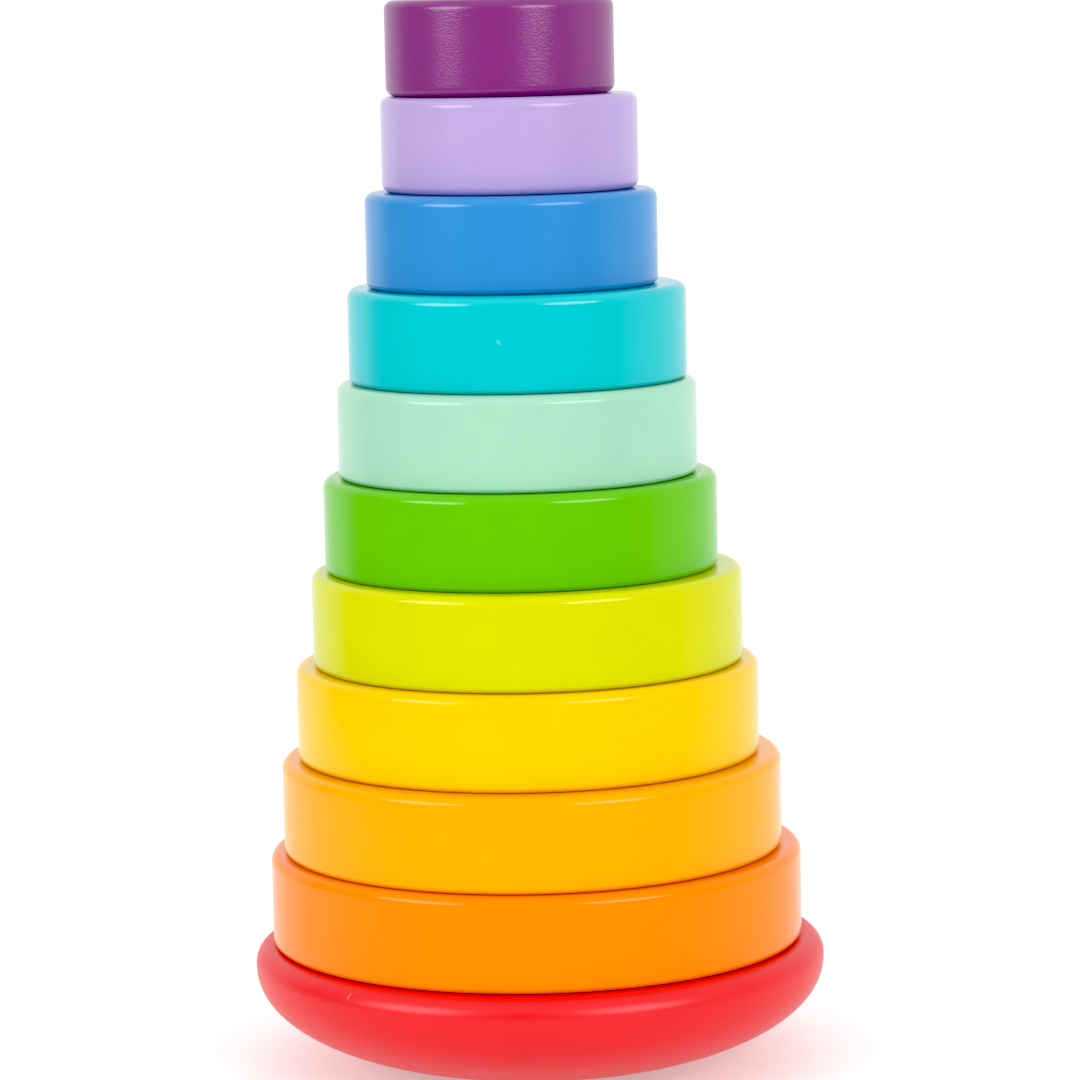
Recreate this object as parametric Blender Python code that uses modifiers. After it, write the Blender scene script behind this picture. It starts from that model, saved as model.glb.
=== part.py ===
"""Rocking rainbow stacking tower.

Ten drilled wooden rings stand on one another, loose on an upright dowel. The dowel is glued
into a turned base with a flat top and a domed underside, on which the whole tower can rock.
Metres, +Z up. The origin is the middle of the small flat foot under the base.
"""

import math
from collections import namedtuple

import bpy

# Stack: every ring takes up one pitch, and a hair of air keeps neighbouring faces apart.
RING_PITCH = 0.020
FACE_GAP = 0.0003
RING_HEIGHT = RING_PITCH - FACE_GAP
RING_EDGE = 0.002

# Hole through every ring, twice as wide as the dowel, so that a ring drops over it without aiming.
HOLE_RADIUS = 0.010
HOLE_EDGE = 0.001

# Base: flat top, round shoulder, superellipse dome below, cut off flat at the foot.
BASE_RADIUS = 0.061
BASE_HEIGHT = 0.0265
SHOULDER_RADIUS = 0.0042
DOME_EXPONENT = 2.2
FOOT_RADIUS = 0.012

# Dowel, standing in a blind socket and ending just below the top ring's upper face.
DOWEL_RADIUS = 0.005
DOWEL_TIP_ROUNDING = 0.002
DOWEL_FOOT_CHAMFER = 0.0008
DOWEL_RECESS = 0.003
SOCKET_DEPTH = 0.018
SOCKET_RADIUS = DOWEL_RADIUS + FACE_GAP
SOCKET_CHAMFER = 0.0005

# Smoothness of the turned shapes.
CHORD_ERROR = 0.00018
FEWEST_SIDES = 24
SIDES_MULTIPLE = 4
EDGE_SEGMENTS = 3
HOLE_EDGE_SEGMENTS = 2
SHOULDER_SEGMENTS = 4
DOME_SEGMENTS = 12
SEAM_MERGE = 0.00001

# Enamel and wood finishes.
ENAMEL_ROUGHNESS = 0.22
BASE_ROUGHNESS = 0.42
WOOD_ROUGHNESS = 0.6

# Each ring: its paint's name and colour as red, green, blue from 0 to 255, its diameter, and
# how far it has slid sideways on the dowel. The first ring is the lowest.
Ring = namedtuple("Ring", "name colour diameter slip")
RINGS = (
    Ring("orange", (255, 148, 0), 0.1135, (-0.0004, 0.0004)),
    Ring("amber", (254, 184, 0), 0.1065, (-0.0010, -0.0005)),
    Ring("yellow", (254, 215, 0), 0.0985, (-0.0015, 0.0003)),
    Ring("lime", (225, 230, 1), 0.0915, (-0.0012, -0.0003)),
    Ring("green", (104, 208, 0), 0.0835, (-0.0022, 0.0004)),
    Ring("mint", (174, 234, 201), 0.0760, (-0.0025, -0.0004)),
    Ring("turquoise", (0, 207, 214), 0.0715, (-0.0021, 0.0002)),
    Ring("blue", (44, 149, 223), 0.0615, (-0.0029, -0.0004)),
    Ring("lavender", (197, 172, 232), 0.0540, (-0.0029, 0.0005)),
    Ring("purple", (142, 50, 132), 0.0480, (-0.0046, -0.0003)),
)
BASE_COLOUR = (240, 50, 62)
WOOD_COLOUR = (222, 184, 135)


def linear(channel):
    """Turns a display colour channel from 0 to 255 into the linear value that shaders take."""
    share = channel / 255
    if share <= 0.04045:
        return share / 12.92
    return ((share + 0.055) / 1.055) ** 2.4


def paint(name, colour, roughness):
    """A plain surface of one colour."""
    material = bpy.data.materials.new(name)
    material.use_nodes = True
    shader = material.node_tree.nodes["Principled BSDF"]
    shader.inputs["Base Color"].default_value = (*(linear(c) for c in colour), 1)
    shader.inputs["Roughness"].default_value = roughness
    shader.inputs["Metallic"].default_value = 0
    return material


def arc(centre, radius, start, end, segments):
    """Points (distance from the axis, height) along a circular arc, angles in degrees."""
    points = []
    for step in range(segments + 1):
        angle = math.radians(start + (end - start) * step / segments)
        points.append((centre[0] + radius * math.cos(angle), centre[1] + radius * math.sin(angle)))
    return points


def sides_for(radius):
    """How many sides keep a circle's chords within the chord error."""
    half_angle = math.acos(1 - CHORD_ERROR / radius)
    sides = SIDES_MULTIPLE * math.ceil(math.pi / half_angle / SIDES_MULTIPLE)
    return max(sides, FEWEST_SIDES)


def turned(name, profile, closed, sides, material, collection):
    """Spins a profile of (distance from the axis, height) points once round the vertical axis."""
    last = len(profile) if closed else len(profile) - 1
    edges = [(i, (i + 1) % len(profile)) for i in range(last)]
    mesh = bpy.data.meshes.new(name)
    mesh.from_pydata([(r, 0, z) for r, z in profile], edges, [])
    piece = bpy.data.objects.new(name, mesh)
    collection.objects.link(piece)
    screw = piece.modifiers.new("Turning", "SCREW")
    screw.axis = "Z"
    screw.angle = math.tau
    screw.steps = sides
    screw.render_steps = sides
    screw.use_merge_vertices = True
    screw.merge_threshold = SEAM_MERGE
    screw.use_smooth_shade = True
    mesh.materials.append(material)
    return piece


def ring_profile(radius):
    """A ring's section: a rectangle from the hole to the rim, with all four edges rounded."""
    rim = radius - RING_EDGE
    hole = HOLE_RADIUS + HOLE_EDGE
    return [
        *arc((rim, RING_HEIGHT - RING_EDGE), RING_EDGE, 90, 0, EDGE_SEGMENTS),
        *arc((rim, RING_EDGE), RING_EDGE, 0, -90, EDGE_SEGMENTS),
        *arc((hole, HOLE_EDGE), HOLE_EDGE, 270, 180, HOLE_EDGE_SEGMENTS),
        *arc((hole, RING_HEIGHT - HOLE_EDGE), HOLE_EDGE, 180, 90, HOLE_EDGE_SEGMENTS),
    ]


def dome():
    """The underside, from the widest line down to the foot, along a superellipse."""
    widest = BASE_HEIGHT - SHOULDER_RADIUS
    foot_share = FOOT_RADIUS / BASE_RADIUS
    depth = widest / (1 - foot_share**DOME_EXPONENT) ** (1 / DOME_EXPONENT)
    last_angle = math.acos(foot_share ** (DOME_EXPONENT / 2))
    points = []
    for step in range(1, DOME_SEGMENTS):
        angle = last_angle * step / DOME_SEGMENTS
        across = BASE_RADIUS * math.cos(angle) ** (2 / DOME_EXPONENT)
        down = depth * math.sin(angle) ** (2 / DOME_EXPONENT)
        points.append((across, widest - down))
    return [*points, (FOOT_RADIUS, 0)]


def base_profile():
    """Socket for the dowel, flat top, shoulder, dome and foot, ending on the axis."""
    floor = BASE_HEIGHT - SOCKET_DEPTH
    shoulder_centre = (BASE_RADIUS - SHOULDER_RADIUS, BASE_HEIGHT - SHOULDER_RADIUS)
    return [
        (0, floor),
        (SOCKET_RADIUS, floor),
        (SOCKET_RADIUS, BASE_HEIGHT - SOCKET_CHAMFER),
        (SOCKET_RADIUS + SOCKET_CHAMFER, BASE_HEIGHT),
        *arc(shoulder_centre, SHOULDER_RADIUS, 90, 0, SHOULDER_SEGMENTS),
        *dome(),
        (0, 0),
    ]


def dowel_profile(length):
    """A round rod with a softened tip and a small chamfer at its foot."""
    tip_centre = (DOWEL_RADIUS - DOWEL_TIP_ROUNDING, length - DOWEL_TIP_ROUNDING)
    return [
        (0, length),
        *arc(tip_centre, DOWEL_TIP_ROUNDING, 90, 0, EDGE_SEGMENTS),
        (DOWEL_RADIUS, DOWEL_FOOT_CHAMFER),
        (DOWEL_RADIUS - DOWEL_FOOT_CHAMFER, 0),
        (0, 0),
    ]


def make_base(collection):
    material = paint("red_enamel", BASE_COLOUR, BASE_ROUGHNESS)
    sides = sides_for(BASE_RADIUS)
    return turned("rocker_base", base_profile(), False, sides, material, collection)


def make_dowel(base, collection):
    foot_height = BASE_HEIGHT - SOCKET_DEPTH + FACE_GAP
    tip_height = BASE_HEIGHT + len(RINGS) * RING_PITCH - DOWEL_RECESS
    material = paint("bare_beech", WOOD_COLOUR, WOOD_ROUGHNESS)
    sides = sides_for(DOWEL_RADIUS)
    profile = dowel_profile(tip_height - foot_height)
    dowel = turned("centre_dowel", profile, False, sides, material, collection)
    dowel.parent = base
    dowel.location = (0, 0, foot_height)
    return dowel


def make_rings(base, collection):
    """Each ring hangs on the one below it, so lifting a ring takes all those above it along."""
    below = base
    slip_below = (0, 0)
    rise = BASE_HEIGHT + FACE_GAP
    for level, ring in enumerate(RINGS, start=1):
        name = f"ring_{level:02d}_{ring.name}"
        material = paint(f"{ring.name}_enamel", ring.colour, ENAMEL_ROUGHNESS)
        radius = ring.diameter / 2
        piece = turned(name, ring_profile(radius), True, sides_for(radius), material, collection)
        piece.parent = below
        piece.location = (ring.slip[0] - slip_below[0], ring.slip[1] - slip_below[1], rise)
        below = piece
        slip_below = ring.slip
        rise = RING_PITCH


def main():
    for old in list(bpy.data.objects):
        bpy.data.objects.remove(old)
    collection = bpy.data.collections.new("stacking_tower")
    bpy.context.scene.collection.children.link(collection)
    base = make_base(collection)
    make_dowel(base, collection)
    make_rings(base, collection)


main()
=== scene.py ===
"""Looks of the rocking rainbow stacking tower.

Every piece of the frame is replaced by a fine turned surface in the same place and of the same
size, except that each ring reaches down through most of the air below it: ten enamelled rings, the
satin red base and the bare beech dowel. Metres, +Z up, as the frame.
"""

import math
from collections import namedtuple

import bpy
import numpy as np
from mathutils import Matrix, Vector


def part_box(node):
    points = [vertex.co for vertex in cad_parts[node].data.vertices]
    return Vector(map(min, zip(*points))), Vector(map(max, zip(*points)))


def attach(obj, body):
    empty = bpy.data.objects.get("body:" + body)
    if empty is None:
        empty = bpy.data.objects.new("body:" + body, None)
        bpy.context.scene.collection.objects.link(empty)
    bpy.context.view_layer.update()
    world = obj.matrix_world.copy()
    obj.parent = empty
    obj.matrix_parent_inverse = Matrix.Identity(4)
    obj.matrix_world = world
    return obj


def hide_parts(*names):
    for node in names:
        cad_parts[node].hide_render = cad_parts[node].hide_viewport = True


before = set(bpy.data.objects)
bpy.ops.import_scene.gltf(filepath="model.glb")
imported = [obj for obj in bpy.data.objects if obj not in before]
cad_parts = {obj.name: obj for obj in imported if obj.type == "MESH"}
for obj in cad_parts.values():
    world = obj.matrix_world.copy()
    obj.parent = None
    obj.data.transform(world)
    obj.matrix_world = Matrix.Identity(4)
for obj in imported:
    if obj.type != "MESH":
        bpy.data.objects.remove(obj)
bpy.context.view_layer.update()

MM = 0.001
MICRON = 0.000001

# Camera, seen from the middle of the base's top face: distance in front, height above, and how
# far it looks down, to the right, and leans over. Sensor width and lens are in millimetres.
CAMERA_DISTANCE = 0.8953
CAMERA_HEIGHT = 0.2044
LOOKS_DOWN = math.radians(7.566)
LOOKS_RIGHT = math.radians(0.115)
LEANS = math.radians(-1.176)
SENSOR = 36
LENS = 141.5

# Room: how bright it is on each side, white behind, above and to the right, and dim in front and
# to the left. The parts of a direction run from -1 to 1, and each pair gives the stretch over
# which one brightness turns into the next.
FRONT_LIGHT = 0.4
LEFT_LIGHT = 0.45
RIGHT_LIGHT = 1.0
BACK_LIGHT = 1.05
CEILING_LIGHT = 1.0
LEFT_TO_RIGHT = (-0.2, 0.6)
FRONT_TO_SIDES = (-0.6, 0.1)
SIDES_TO_BACK = (0.35, 0.6)
WALLS_TO_CEILING = (0.4, 0.65)

# Floor: round, pale and matt, with a faint glow of its own.
FLOOR_RADIUS = 0.45
FLOOR_SIDES = 256
FLOOR_COLOUR = (0.72, 0.72, 0.72)
FLOOR_GLOW = 0.34
FLOOR_ROUGH = 0.9
FLOOR_SHINE = 0.1

# Two upright oval softboxes in front: how far round to the right each one is, and its power.
SOFTBOX_DISTANCE = 1.25
SOFTBOX_WIDTH = 0.92
SOFTBOX_HEIGHT = 0.66
SOFTBOX_MIDDLE = 0.60
LEFT_SOFTBOX = (math.radians(-53), 9.0)
RIGHT_SOFTBOX = (math.radians(38), 8.5)

# Light below the black point shows as none, which keeps deep colours free of haze.
BLACK_POINT = 0.03

# Each ring, lowest first: its enamel as red, green and blue from 0 to 255, how strongly it
# shines, how rough that shine is, how deep its orange peel is, and how round its lower edge is.
Enamel = namedtuple("Enamel", "name colour shine rough peel low_edge")
ENAMELS = (
    Enamel("orange", (255, 139, 0), 0.29, 0.155, 6 * MICRON, 1.3 * MM),
    Enamel("amber", (255, 175, 0), 0.28, 0.155, 5 * MICRON, 1.3 * MM),
    Enamel("yellow", (255, 206, 0), 0.25, 0.155, 5 * MICRON, 1.3 * MM),
    Enamel("lime", (219, 222, 0), 0.30, 0.155, 5 * MICRON, 1.3 * MM),
    Enamel("green", (105, 199, 0), 0.41, 0.155, 5 * MICRON, 1.3 * MM),
    Enamel("mint", (169, 224, 194), 0.42, 0.155, 5 * MICRON, 1.3 * MM),
    Enamel("turquoise", (0, 202, 209), 0.5, 0.155, 4 * MICRON, 1.3 * MM),
    Enamel("blue", (54, 147, 215), 0.5, 0.18, 6 * MICRON, 1.3 * MM),
    Enamel("lavender", (193, 170, 225), 0.42, 0.17, 8 * MICRON, 1.8 * MM),
    Enamel("purple", (139, 50, 130), 0.62, 0.23, 30 * MICRON, 2.0 * MM),
)

# The other colours. The studio lights the tower brighter than white, so paint sends back only a
# share of its colour. The primer, which shows where paint is worn, is given as a linear colour.
RED_SATIN = (233, 29, 38)
PAINT_SHARE = 0.84
BEECH = (226, 190, 144)
BEECH_DARK = (168, 118, 76)
PRIMER = (0.66, 0.64, 0.60, 1)

# How dark and how light paint gets where its tone drifts, and how dark the beech gets.
RING_TONES = (0.985, 1.01)
BASE_TONES = (0.98, 1.01)
BEECH_TONE = 0.76

# How strongly one thing shows over another where it shows most: wood through paint, primer through
# a nick, a scuff and wear, and in the wood its growth rings, pores and flecks.
BARE_SHARE = 0.9
NICK_SHARE = 0.22
SCUFF_SHARE = 0.2
WEAR_SHARE = 0.35
GROWTH_SHARE = 0.6
PORE_SHARE = 0.4
FLECK_SHARE = 0.6

# How rough the base's and the dowel's shine is, and what else adds to a surface's roughness.
BASE_ROUGH = 0.34
WOOD_ROUGH = 0.5
MOTTLE_DULLS = 0.03
BARE_DULLS = 0.3
RUB_DULLS = 0.06
BASE_MOTTLE_DULLS = 0.05
WEAR_DULLS = 0.25
SCUFF_DULLS = 0.15
PORES_DULL = 0.15

# Refractive indices.
PAINT_IOR = 1.5
WOOD_IOR = 1.45

# Marks: a nick in the turquoise wall, a bead of thick paint low on the amber wall and a scuff on
# the base's shoulder. Each has its azimuth from the front to the right, its height above the
# piece's foot, its width, how many times longer than wide it is, and how its long axis leans from
# upright: backwards and then to the right. Grit of its own size makes a worn mark's edge ragged.
# It shifts the edge over that share of the mark's width, and the mark fades between those shares
# of its width off its middle.
Mark = namedtuple("Mark", "azimuth height width longer leans")
NICK = Mark(math.radians(-6.1), 10.8 * MM, 0.55 * MM, 2.2, (0, math.radians(-32)))
NICK_DEPTH = 40 * MICRON
BEAD = Mark(math.radians(12.3), 4.2 * MM, 2.0 * MM, 1, (0, 0))
BEAD_RISE = 0.22 * MM
SCUFF = Mark(math.radians(-40.7), 24.7 * MM, 0.42 * MM, 4.5, (math.radians(-32), math.radians(18)))
SCUFF_DEPTH = 10 * MICRON
GRIT_SIZE = 0.3 * MM
GRIT_SHIFTS = 0.6
MARK_FADES = (0.65, 0.2)

# Surfaces. A size is that of one feature, and a depth is that from its top to its bottom. Wider
# is how many times wider than tall it is, and longer how many times longer than wide. Noise is
# soft, or gritty with stronger fine parts. The grain turns from each ring to the next by so many
# radians.
PEEL_SIZE = 0.42 * MM
PEEL_WIDER = 1.8
SWELL_SIZE = 6 * MM
SWELL_DEPTH = 14 * MICRON
MOTTLE_SIZE = 9 * MM
GRAIN_SIZE = 0.7 * MM
GRAIN_LONGER = 14
GRAIN_DEPTH = 1.6 * MICRON
GRAIN_TURN = 2.4
FIBRE_SIZE = 1 * MM
FIBRE_LONGER = 10
BASE_PEEL_SIZE = 0.8 * MM
BASE_PEEL_DEPTH = 5 * MICRON
BASE_SWELL_SIZE = 8 * MM
BASE_MOTTLE_SIZE = 11 * MM
WEAR_SIZE = 2.5 * MM
GROWTH_SPACING = 1.3 * MM
PITH_AWAY = 14 * MM
PORE_SIZE = 0.5 * MM
PORE_LONGER = 25
PORE_DEPTH = 18 * MICRON
FLECK_SIZE = 0.55 * MM
FLECK_LONGER = 4.5
FLECK_DEPTH = 10 * MICRON
SOFT = 0.5
GRITTY = 0.6

# Where the neighbours rub circles into a ring: starting this far from its face and in full by
# that far, in circles about this far apart.
RUB_FROM = 0.3 * MM
RUB_BY = 0.1 * MM
RUB_SPACING = 0.9 * MM

# How the paint ends in a bore. A bore counts from this far outside its wall, and in full by that
# far. The paint fades between these depths below the ring's face, and its edge wanders over that
# much in patches of this size.
BORE_FROM = 0.9 * MM
BORE_BY = 0.1 * MM
SPRAY_REACH = (2 * MM, 5.5 * MM)
SPRAY_WANDERS = 4 * MM
SPRAY_PATCH = 3 * MM

# Where the base rocks its paint wears: more and more between these distances off its axis, and
# from this share of its height down.
ROCKING_REACH = (44 * MM, 16 * MM)
ROCKING_HEIGHT = 0.3

# Between which values of a noise, itself from 0 to 1, its patches, lines or specks come out.
TONE_PATCHES = (0.3, 0.7)
RUB_LINES = (0.5, 0.66)
RUB_PATCHES = (0.35, 0.6)
WEAR_PATCHES = (0.5, 0.72)
GROWTH_LINES = (0.35, 0.65)
FLECK_SPECKS = (0.62, 0.72)

# Turned shapes. The frame keeps a hair of air between neighbouring pieces, and here each ring
# reaches down through most of it, so that it all but rests on the one below.
RING_TOP_EDGE = 2.0 * MM
RING_REST = 0.27 * MM
HOLE_RADIUS = 10.0 * MM
HOLE_EDGE = 1.0 * MM
SHOULDER = 4.2 * MM
DOME_EXPONENT = 2.2
FOOT_RADIUS = 12.0 * MM
SOCKET_RADIUS = 5.3 * MM
SOCKET_DEPTH = 18.0 * MM
SOCKET_CHAMFER = 0.5 * MM
DOWEL_TIP = 2.0 * MM
DOWEL_CHAMFER = 0.8 * MM

# How finely they are split: the step round the widest line, the number that the count of sides is
# a multiple of, the step along a ring's face, and how many stretches each other part of a profile
# has.
GRID_STEP = 0.7 * MM
SIDES_MULTIPLE = 8
FACE_STEP = 3 * MM
TOP_EDGE_SPLIT = 16
WALL_SPLIT = 36
LOW_EDGE_SPLIT = 12
HOLE_EDGE_SPLIT = 8
BORE_SPLIT = 10
SOCKET_SPLIT = 6
BASE_TOP_SPLIT = 24
SHOULDER_SPLIT = 20
DOME_SPLIT = 64
FOOT_SPLIT = 4
DOWEL_END_SPLIT = 4
DOWEL_TIP_SPLIT = 12
DOWEL_WALL_SPLIT = 120


# ---------------------------------------------------------------- shader maths


class Wire:
    """A node's output. Arithmetic on a number wire adds the Math nodes."""

    def __init__(self, nodes, socket):
        self.nodes = nodes
        self.socket = socket

    def _math(self, operation, *values):
        inputs = dict(enumerate(values))
        return self.nodes.node("ShaderNodeMath", {"operation": operation}, inputs)

    def __add__(self, other):
        return self._math("ADD", self, other)

    __radd__ = __add__

    def __sub__(self, other):
        return self._math("SUBTRACT", self, other)

    def __rsub__(self, other):
        return self._math("SUBTRACT", other, self)

    def __mul__(self, other):
        return self._math("MULTIPLY", self, other)

    __rmul__ = __mul__

    def __abs__(self):
        return self._math("ABSOLUTE", self)

    def root(self):
        return self._math("SQRT", self)

    def at_most(self, other):
        return self._math("MINIMUM", self, other)

    def rise(self, low, high):
        """0 below low, 1 above high, with a smooth step between. low may be above high."""
        settings = {"interpolation_type": "SMOOTHSTEP"}
        inputs = {"Value": self, "From Min": low, "From Max": high}
        return self.nodes.node("ShaderNodeMapRange", settings, inputs)


class Nodes:
    """The nodes of one material or world."""

    def __init__(self, owner):
        owner.use_nodes = True
        self.tree = owner.node_tree

    def node(self, kind, settings, inputs, output=0):
        """Adds a node: its settings first, then a value or a wire for each named socket."""
        made = self.tree.nodes.new(kind)
        for setting, value in settings.items():
            setattr(made, setting, value)
        self.plug(made, inputs)
        return Wire(self, made.outputs[output])

    def plug(self, made, inputs):
        """Sets or wires the named sockets of a node."""
        for name, value in inputs.items():
            if isinstance(value, Wire):
                self.tree.links.new(value.socket, made.inputs[name])
            else:
                made.inputs[name].default_value = value

    def parts(self, where):
        """x, y and z of a point."""
        made = self.tree.nodes.new("ShaderNodeSeparateXYZ")
        self.plug(made, {"Vector": where})
        return [Wire(self, made.outputs[axis]) for axis in range(3)]


class Finish(Nodes):
    """A material: a Principled shader with fixed sockets, and the nodes that feed the others."""

    def __init__(self, name, **fixed):
        self.material = bpy.data.materials.new(name)
        super().__init__(self.material)
        self.shader = self.tree.nodes["Principled BSDF"]
        self.feed(**fixed)

    def feed(self, **inputs):
        """Sets or feeds the shader's own sockets."""
        self.plug(self.shader, {name.replace("_", " "): value for name, value in inputs.items()})

    def place(self):
        return self.node("ShaderNodeTexCoord", {}, {}, "Object")

    def moved(self, where, by=(0, 0, 0), turn=(0, 0, 0), longer=(1, 1, 1)):
        """A point less an offset, seen from axes turned by those angles. What is built on it comes
        out that many times longer along each of the turned axes."""
        inputs = {"Vector": where, "Location": by, "Rotation": turn, "Scale": longer}
        return self.node("ShaderNodeMapping", {"vector_type": "TEXTURE"}, inputs)

    def noise(self, where, size, detail=2, roughness=SOFT):
        """Noise from 0 to 1 with features of about that size in metres."""
        inputs = {"Vector": where, "Scale": 1 / size, "Detail": detail, "Roughness": roughness}
        return self.node("ShaderNodeTexNoise", {"noise_dimensions": "3D"}, inputs)

    def lines(self, along, size, detail=2):
        """Noise from 0 to 1 that changes with one number only, in lines about that far apart."""
        inputs = {"W": along, "Scale": 1 / size, "Detail": detail, "Roughness": GRITTY}
        return self.node("ShaderNodeTexNoise", {"noise_dimensions": "1D"}, inputs)

    def mark(self, where, radius, mark):
        """1 inside a worn mark on a wall of that radius and 0 outside it, with a ragged edge."""
        turn = (*mark.leans, mark.azimuth)
        near = self.moved(where, wall_point(radius, mark), turn, (1, 1, mark.longer))
        away = self.node("ShaderNodeVectorMath", {"operation": "LENGTH"}, {0: near}, "Value")
        ragged = away + (self.noise(where, GRIT_SIZE) - 0.5) * mark.width * GRIT_SHIFTS
        return ragged.rise(*(mark.width * share for share in MARK_FADES))

    def mix(self, share, first, second):
        """A colour between two others. Sockets 6 and 7 and output 2 are those for colours."""
        settings = {"data_type": "RGBA", "clamp_factor": True}
        return self.node("ShaderNodeMix", settings, {0: share, 6: first, 7: second}, 2)

    def bump(self, height):
        """A normal from a height in metres."""
        return self.node("ShaderNodeBump", {}, {"Strength": 1.0, "Distance": 1.0, "Height": height})


def linear(colour):
    """Display red, green and blue from 0 to 255 as the linear values that shaders take."""
    shares = [channel / 255 for channel in colour]
    values = [s / 12.92 if s <= 0.04045 else ((s + 0.055) / 1.055) ** 2.4 for s in shares]
    return (*values, 1)


def shaded(colour, factor):
    """A linear colour made darker or lighter by a factor."""
    return (*(min(1, channel * factor) for channel in colour[:3]), 1)


# ---------------------------------------------------------------- turned meshes


def placed(name, data):
    """A new object in the scene."""
    thing = bpy.data.objects.new(name, data)
    bpy.context.scene.collection.objects.link(thing)
    return thing


def arc(centre, radius, start, end, segments):
    """Points along a circular arc in the profile plane, angles in degrees."""
    angle = np.radians(np.linspace(start, end, segments + 1))
    return np.stack([centre[0] + radius * np.cos(angle), centre[1] + radius * np.sin(angle)], 1)


def line(start, end, segments):
    """Points strictly between two ends of a straight stretch."""
    share = np.linspace(0, 1, segments + 1)[1:-1, None]
    return np.asarray(start) * (1 - share) + np.asarray(end) * share


def turned(name, profile, closed, centre, relief=None):
    """A turned surface: profile point (r, h) goes to (r cos a, r sin a, h) for a full turn of a.

    relief(grid) may return the grid with some of its points moved.
    A closed profile joins end to start, and an open one starts and ends on the axis.
    """
    around = math.tau * profile[:, 0].max() / GRID_STEP
    around = SIDES_MULTIPLE * math.ceil(around / SIDES_MULTIPLE)
    angle = np.linspace(0, math.tau, around, endpoint=False)
    rings = profile if closed else profile[1:-1]
    radius, height = rings[:, 0, None], rings[:, 1, None]
    level = height + 0 * angle
    grid = np.stack([radius * np.cos(angle), radius * np.sin(angle), level], 2)
    if relief is not None:
        grid = relief(grid)
    rows = len(rings)
    count = rows * around
    corner = np.arange(count).reshape(rows, around)
    beside = np.roll(corner, -1, axis=1)
    below = np.roll(corner, -1, axis=0)
    below_beside = np.roll(beside, -1, axis=0)
    quads = np.stack([corner, below, below_beside, beside], 2)
    points = grid.reshape(-1, 3)
    faces = quads.reshape(-1, 4).tolist()
    if not closed:
        faces = quads[:-1].reshape(-1, 4).tolist()
        poles = [(0, 0, profile[0, 1]), (0, 0, profile[-1, 1])]
        points = np.concatenate([points, poles])
        first = np.stack([np.full(around, count), corner[0], beside[0]], 1)
        last = np.stack([np.full(around, count + 1), beside[-1], corner[-1]], 1)
        faces += first.tolist() + last.tolist()
    mesh = bpy.data.meshes.new(name)
    mesh.from_pydata((points + np.asarray(centre)).tolist(), [], faces)
    mesh.shade_smooth()
    return placed(name, mesh)


def wall_point(radius, mark):
    """Where a mark lies on an upright wall of that radius."""
    return radius * math.sin(mark.azimuth), -radius * math.cos(mark.azimuth), mark.height


def beaded(radius, mark, rise):
    """Raises a round bead on a wall: a point at distance d from its middle moves away from the
    axis by rise e^-(2d/width)^2."""
    def relief(grid):
        away = np.linalg.norm(grid - wall_point(radius, mark), axis=2)
        outward = rise * np.exp(-((2 * away / mark.width) ** 2))
        share = 1 + outward / np.hypot(grid[..., 0], grid[..., 1])
        return grid * np.stack([share, share, 1 + 0 * share], 2)
    return relief


def ring_profile(radius, height, low_edge):
    """A ring's section: rim, underside, bore and upper face, with all four edges rounded."""
    rim_top, rim_low = radius - RING_TOP_EDGE, radius - low_edge
    bore = HOLE_RADIUS + HOLE_EDGE
    high, low = height - RING_TOP_EDGE, low_edge
    face = math.ceil((rim_top - bore) / FACE_STEP)
    return np.concatenate([
        arc((rim_top, high), RING_TOP_EDGE, 90, 0, TOP_EDGE_SPLIT),
        line((radius, high), (radius, low), WALL_SPLIT),
        arc((rim_low, low), low_edge, 0, -90, LOW_EDGE_SPLIT),
        line((rim_low, 0), (bore, 0), face),
        arc((bore, HOLE_EDGE), HOLE_EDGE, 270, 180, HOLE_EDGE_SPLIT),
        line((HOLE_RADIUS, HOLE_EDGE), (HOLE_RADIUS, height - HOLE_EDGE), BORE_SPLIT),
        arc((bore, height - HOLE_EDGE), HOLE_EDGE, 180, 90, HOLE_EDGE_SPLIT),
        line((bore, height), (rim_top, height), face),
    ])


def base_profile(radius, height):
    """Socket, flat top, round shoulder, dome and foot. The dome is a quarter superellipse:
    across = radius cos(t)^(2/n) and down = depth sin(t)^(2/n), cut off level at the foot."""
    floor = height - SOCKET_DEPTH
    widest = height - SHOULDER
    foot_share = FOOT_RADIUS / radius
    depth = widest / (1 - foot_share**DOME_EXPONENT) ** (1 / DOME_EXPONENT)
    turn = np.linspace(0, math.acos(foot_share ** (DOME_EXPONENT / 2)), DOME_SPLIT + 1)[1:]
    across = radius * np.cos(turn) ** (2 / DOME_EXPONENT)
    down = depth * np.sin(turn) ** (2 / DOME_EXPONENT)
    dome = np.stack([across, widest - down], 1)
    mouth = SOCKET_RADIUS + SOCKET_CHAMFER
    return np.concatenate([
        [(0, floor), (SOCKET_RADIUS, floor)],
        line((SOCKET_RADIUS, floor), (SOCKET_RADIUS, height - SOCKET_CHAMFER), SOCKET_SPLIT),
        [(SOCKET_RADIUS, height - SOCKET_CHAMFER), (mouth, height)],
        line((mouth, height), (radius - SHOULDER, height), BASE_TOP_SPLIT),
        arc((radius - SHOULDER, widest), SHOULDER, 90, 0, SHOULDER_SPLIT),
        dome,
        line((FOOT_RADIUS, 0), (0, 0), FOOT_SPLIT),
        [(0, 0)],
    ])


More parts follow.
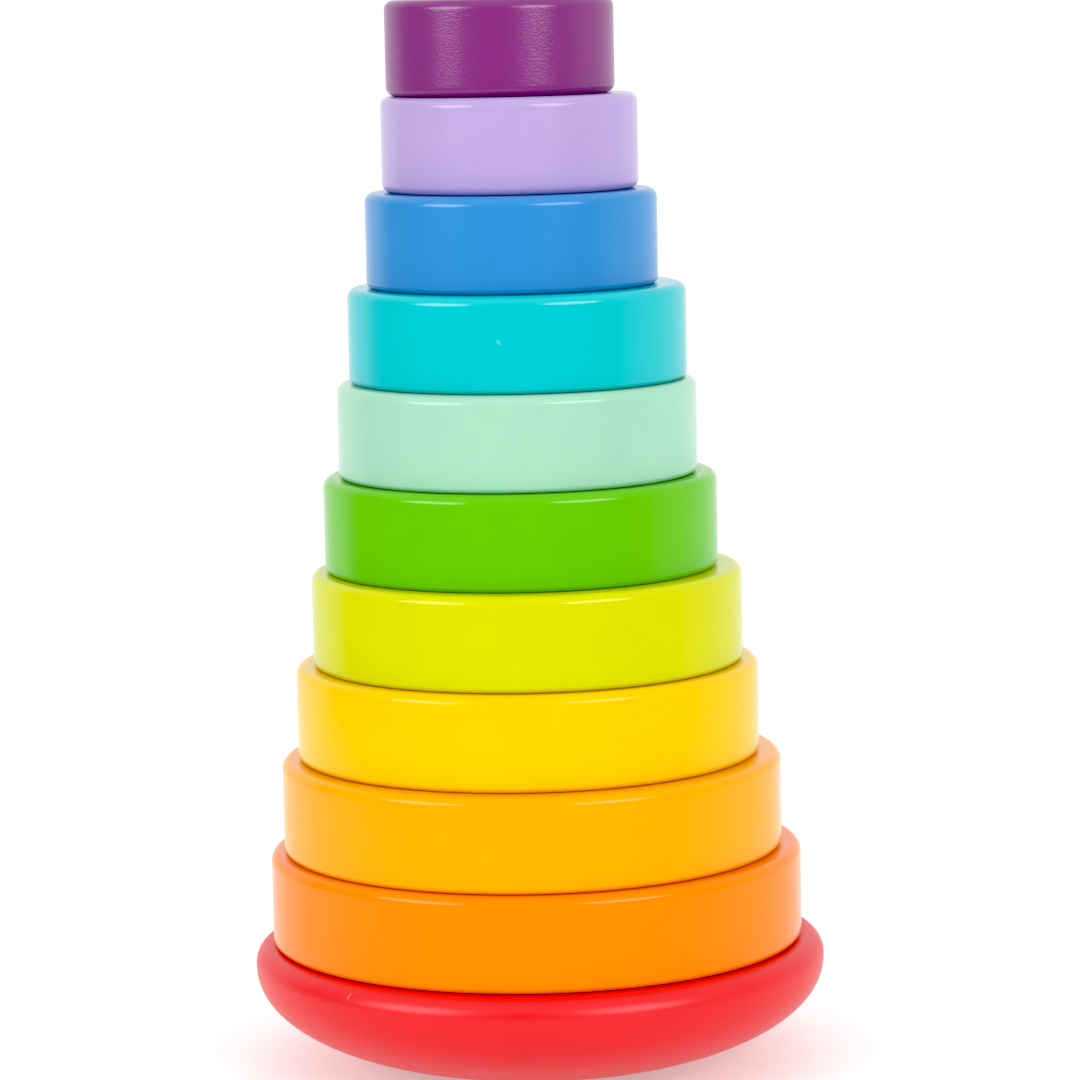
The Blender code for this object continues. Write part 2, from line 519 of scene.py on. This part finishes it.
def dowel_profile(radius, length):
    """A round rod with a softened tip and a small chamfer at its foot, from tip to foot."""
    tip = (radius - DOWEL_TIP, length - DOWEL_TIP)
    return np.concatenate([
        [(0, length)],
        line((0, length), (radius - DOWEL_TIP, length), DOWEL_END_SPLIT),
        arc(tip, DOWEL_TIP, 90, 0, DOWEL_TIP_SPLIT),
        line((radius, length - DOWEL_TIP), (radius, DOWEL_CHAMFER), DOWEL_WALL_SPLIT),
        [(radius, DOWEL_CHAMFER), (radius - DOWEL_CHAMFER, 0), (0, 0)],
    ])


# ---------------------------------------------------------------- finishes


def off_axis(x, y):
    """Distance from the upright axis."""
    return (x * x + y * y).root()


def along_grain(finish, where, angle, longer, size, detail=2, roughness=SOFT):
    """Noise drawn out along the grain, which lies level at that angle."""
    lie = finish.moved(where, turn=(0, 0, angle), longer=(longer, 1, 1))
    return finish.noise(lie, size, detail, roughness)


def mottled(finish, where, colour, size, tones):
    """Paint whose tone drifts in patches of that size, and the noise that it drifts with."""
    paint = shaded(linear(colour), PAINT_SHARE)
    dark, light = (shaded(paint, tone) for tone in tones)
    mottle = finish.noise(where, size, detail=3)
    return finish.mix(mottle.rise(*TONE_PATCHES), dark, light), mottle


def rubbed_faces(finish, from_axis, from_middle, height, mottle):
    """1 in the faint circles that the neighbouring rings rub into a ring's faces."""
    on_face = from_middle.rise(height / 2 - RUB_FROM, height / 2 - RUB_BY)
    circles = finish.lines(from_axis, RUB_SPACING, detail=3).rise(*RUB_LINES)
    return on_face * circles * mottle.rise(*RUB_PATCHES)


def bare_bore(finish, where, from_axis, from_middle, height):
    """1 on the bare wood in the middle of a ring's bore."""
    on_wall = from_axis.rise(HOLE_RADIUS + BORE_FROM, HOLE_RADIUS + BORE_BY)
    wander = (finish.noise(where, SPRAY_PATCH) - 0.5) * SPRAY_WANDERS
    inside = height / 2 - from_middle + wander
    return on_wall * inside.rise(*SPRAY_REACH)


def enamel(coat, centre, radius, height, grain_angle):
    """Gloss enamel sprayed on beech: orange peel, a trace of grain, rubbed faces, and paint that
    fades out into the bore."""
    finish = Finish(f"{coat.name}_gloss_enamel", IOR=PAINT_IOR, Specular_IOR_Level=coat.shine)
    where = finish.moved(finish.place(), centre)
    x, y, z = finish.parts(where)
    from_axis = off_axis(x, y)
    from_middle = abs(z - height / 2)
    wide = finish.moved(where, longer=(PEEL_WIDER, PEEL_WIDER, 1))
    peel = finish.noise(wide, PEEL_SIZE, detail=1)
    swell = finish.noise(where, SWELL_SIZE, detail=1)
    grain = along_grain(finish, where, grain_angle, GRAIN_LONGER, GRAIN_SIZE, 3, GRITTY)
    relief = peel * coat.peel + swell * SWELL_DEPTH + grain * GRAIN_DEPTH
    colour, mottle = mottled(finish, where, coat.colour, MOTTLE_SIZE, RING_TONES)
    rubbed = rubbed_faces(finish, from_axis, from_middle, height, mottle)
    bare = bare_bore(finish, where, from_axis, from_middle, height)
    fibre = along_grain(finish, where, grain_angle, FIBRE_LONGER, FIBRE_SIZE)
    wood = finish.mix(fibre, linear(BEECH), linear(BEECH_DARK))
    colour = finish.mix(bare * BARE_SHARE, colour, wood)
    if coat.name == "turquoise":
        nick = finish.mark(where, radius, NICK)
        colour = finish.mix(nick * NICK_SHARE, colour, PRIMER)
        relief = relief - nick * NICK_DEPTH
    rough = coat.rough + mottle * MOTTLE_DULLS + bare * BARE_DULLS + rubbed * RUB_DULLS
    finish.feed(Base_Color=colour, Roughness=rough, Normal=finish.bump(relief))
    return finish


def red_satin(centre, radius, height):
    """Satin enamel on the turned base: soft sheen, a scuff on the shoulder, and dull rubbing
    where it rocks."""
    finish = Finish("red_satin_enamel", IOR=PAINT_IOR)
    where = finish.moved(finish.place(), centre)
    x, y, z = finish.parts(where)
    peel = finish.noise(where, BASE_PEEL_SIZE)
    swell = finish.noise(where, BASE_SWELL_SIZE, detail=1)
    colour, mottle = mottled(finish, where, RED_SATIN, BASE_MOTTLE_SIZE, BASE_TONES)
    under = off_axis(x, y).rise(*ROCKING_REACH) * z.rise(height * ROCKING_HEIGHT, 0)
    rubbed = under * finish.noise(where, WEAR_SIZE, 4, GRITTY).rise(*WEAR_PATCHES)
    above_widest = SCUFF.height - (height - SHOULDER)
    scuff_radius = radius - SHOULDER + math.sqrt(SHOULDER**2 - above_widest**2)
    scuff = finish.mark(where, scuff_radius, SCUFF)
    worn = (rubbed * WEAR_SHARE + scuff * SCUFF_SHARE).at_most(1)
    colour = finish.mix(worn, colour, PRIMER)
    rough = BASE_ROUGH + mottle * BASE_MOTTLE_DULLS + rubbed * WEAR_DULLS + scuff * SCUFF_DULLS
    relief = peel * BASE_PEEL_DEPTH + swell * SWELL_DEPTH - scuff * SCUFF_DEPTH
    finish.feed(Base_Color=colour, Roughness=rough, Normal=finish.bump(relief))
    return finish


def bare_beech(centre):
    """Sanded beech: growth rings that run along the rod and curve over its end, fine pores, and
    short darker flecks."""
    finish = Finish("bare_beech", IOR=WOOD_IOR)
    where = finish.moved(finish.place(), centre)
    x, y, _ = finish.parts(where)
    growth = finish.lines(off_axis(x + PITH_AWAY, y), GROWTH_SPACING).rise(*GROWTH_LINES)
    along_pores = finish.moved(where, longer=(1, 1, PORE_LONGER))
    pores = finish.noise(along_pores, PORE_SIZE, 4, GRITTY)
    along_flecks = finish.moved(where, longer=(1, 1, FLECK_LONGER))
    fleck = finish.noise(along_flecks, FLECK_SIZE, detail=1).rise(*FLECK_SPECKS)
    tone = growth * GROWTH_SHARE + pores.rise(*TONE_PATCHES) * PORE_SHARE
    ground = finish.mix(tone, linear(BEECH), shaded(linear(BEECH), BEECH_TONE))
    colour = finish.mix(fleck * FLECK_SHARE, ground, linear(BEECH_DARK))
    relief = pores * PORE_DEPTH - fleck * FLECK_DEPTH
    rough = WOOD_ROUGH + pores * PORES_DULL
    finish.feed(Base_Color=colour, Roughness=rough, Normal=finish.bump(relief))
    return finish


# ---------------------------------------------------------------- pieces


def fit(piece, node, body, finish):
    """Puts a finished piece in the place of its node, on its body."""
    piece.data.materials.append(finish.material)
    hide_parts(node)
    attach(piece, body)


def middle(node):
    """Foot centre, radius and height of an upright round node."""
    low, high = (np.array(corner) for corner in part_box(node))
    centre = (low + high) / 2
    return (centre[0], centre[1], low[2]), (high[0] - low[0]) / 2, high[2] - low[2]


def make_rings():
    for level, coat in enumerate(ENAMELS, start=1):
        node = f"ring_{level:02d}_{coat.name}"
        centre, radius, height = middle(node)
        foot = (centre[0], centre[1], centre[2] - RING_REST)
        height = height + RING_REST
        profile = ring_profile(radius, height, coat.low_edge)
        relief = beaded(radius, BEAD, BEAD_RISE) if coat.name == "amber" else None
        piece = turned(f"{coat.name}_enamelled_ring", profile, True, foot, relief)
        finish = enamel(coat, foot, radius, height, GRAIN_TURN * level)
        fit(piece, node, f"{coat.name}_ring", finish)


def make_base():
    centre, radius, height = middle("rocker_base")
    piece = turned("domed_base", base_profile(radius, height), False, centre)
    fit(piece, "rocker_base", "base", red_satin(centre, radius, height))


def make_dowel():
    centre, radius, height = middle("centre_dowel")
    piece = turned("beech_dowel", dowel_profile(radius, height), False, centre)
    fit(piece, "centre_dowel", "base", bare_beech(centre))


# ---------------------------------------------------------------- studio


def make_camera():
    """Stands in front of the base's top, looks down and a little right, and leans over."""
    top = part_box("rocker_base")[1][2]
    forward = Vector((
        math.sin(LOOKS_RIGHT) * math.cos(LOOKS_DOWN),
        math.cos(LOOKS_RIGHT) * math.cos(LOOKS_DOWN),
        -math.sin(LOOKS_DOWN),
    ))
    level_right = Vector((math.cos(LOOKS_RIGHT), -math.sin(LOOKS_RIGHT), 0))
    level_up = level_right.cross(forward)
    right = level_right * math.cos(LEANS) + level_up * math.sin(LEANS)
    up = -level_right * math.sin(LEANS) + level_up * math.cos(LEANS)
    data = bpy.data.cameras.new("camera")
    data.sensor_width = SENSOR
    data.lens = LENS
    camera = placed("camera", data)
    turn = Matrix((right, up, -forward)).transposed().to_4x4()
    camera.matrix_world = Matrix.Translation((0, -CAMERA_DISTANCE, top + CAMERA_HEIGHT)) @ turn
    bpy.context.scene.camera = camera


def make_softbox(name, azimuth, power):
    """An upright softbox that faces the tower, azimuth counted from the front to the right."""
    data = bpy.data.lights.new(name, "AREA")
    data.shape = "ELLIPSE"
    data.size = SOFTBOX_WIDTH
    data.size_y = SOFTBOX_HEIGHT
    data.energy = power
    light = placed(name, data)
    stand = Vector((math.sin(azimuth), -math.cos(azimuth), 0)) * SOFTBOX_DISTANCE
    light.location = stand + Vector((0, 0, SOFTBOX_MIDDLE))
    light.rotation_euler = (math.radians(90), 0, azimuth)


def make_room():
    """World light by direction: dim in front and on the left, white on the right, behind and
    above."""
    world = bpy.data.worlds.new("studio_room")
    room = Nodes(world)
    x, y, z = room.parts(room.node("ShaderNodeTexCoord", {}, {}, "Generated"))
    side = LEFT_LIGHT + (RIGHT_LIGHT - LEFT_LIGHT) * x.rise(*LEFT_TO_RIGHT)
    light = FRONT_LIGHT + (side - FRONT_LIGHT) * y.rise(*FRONT_TO_SIDES)
    behind = y.rise(*SIDES_TO_BACK)
    light = light * (1 - behind) + BACK_LIGHT * behind
    above = z.rise(*WALLS_TO_CEILING)
    light = light * (1 - above) + CEILING_LIGHT * above
    room.plug(room.tree.nodes["Background"], {"Color": (1, 1, 1, 1), "Strength": light})
    bpy.context.scene.world = world


def make_floor():
    """A round pale floor at the foot of the tower, glowing faintly."""
    angle = np.linspace(0, math.tau, FLOOR_SIDES, endpoint=False)
    rim = np.stack([FLOOR_RADIUS * np.cos(angle), FLOOR_RADIUS * np.sin(angle), 0 * angle], 1)
    mesh = bpy.data.meshes.new("floor")
    mesh.from_pydata(rim.tolist(), [], [list(range(FLOOR_SIDES))])
    floor = placed("floor", mesh)
    matt = Finish("pale_floor", Roughness=FLOOR_ROUGH, Specular_IOR_Level=FLOOR_SHINE)
    matt.feed(Base_Color=(*FLOOR_COLOUR, 1))
    matt.feed(Emission_Color=(1, 1, 1, 1), Emission_Strength=FLOOR_GLOW)
    mesh.materials.append(matt.material)


def make_grade():
    """Plain display colours, with light below the black point shown as none."""
    view = bpy.context.scene.view_settings
    view.view_transform = "Standard"
    view.use_curve_mapping = True
    view.curve_mapping.black_level = (BLACK_POINT, BLACK_POINT, BLACK_POINT)
    view.curve_mapping.update()


def main():
    make_grade()
    make_camera()
    make_room()
    make_floor()
    make_softbox("left_softbox", *LEFT_SOFTBOX)
    make_softbox("right_softbox", *RIGHT_SOFTBOX)
    make_base()
    make_dowel()
    make_rings()


main()
